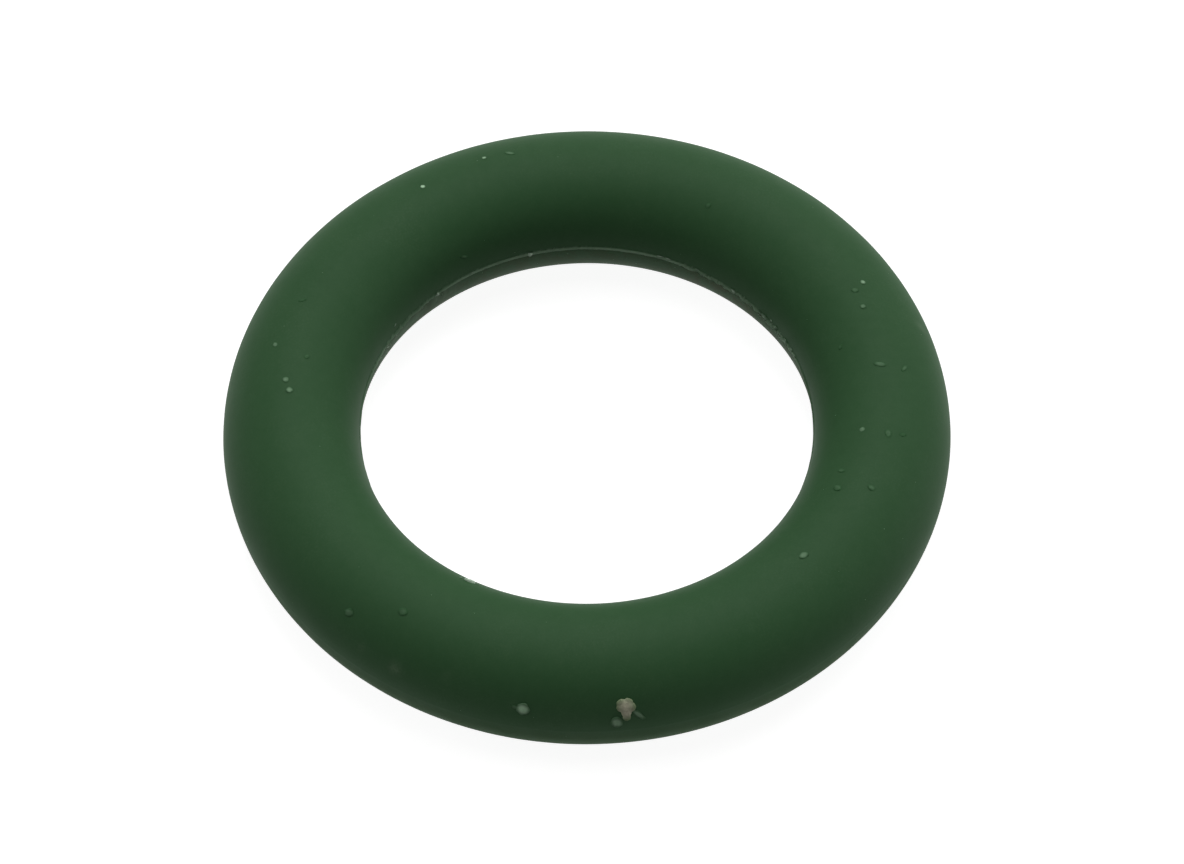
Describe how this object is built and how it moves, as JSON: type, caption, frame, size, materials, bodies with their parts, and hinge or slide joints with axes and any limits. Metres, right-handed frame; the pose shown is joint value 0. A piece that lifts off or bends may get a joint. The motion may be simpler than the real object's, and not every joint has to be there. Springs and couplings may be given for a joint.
{
  "type": "rubber o-ring",
  "caption": "Round rubber sealing ring of round section, moulded in one piece, with a thin parting-line ridge round its inside and its outside.",
  "frame": {"origin": "middle of the ring, on its axis and on the parting plane of its mould", "axes": "+Z along the ring's axis, towards its upper face as it lies; X and Y lie in the parting plane, in any direction round the axis"},
  "size_m": [0.016, 0.016, 0.003],
  "materials": {
    "green_rubber": "matte"
  },
  "bodies": {
    "root": {"o_ring": "green_rubber"}
  },
  "joints": []
}
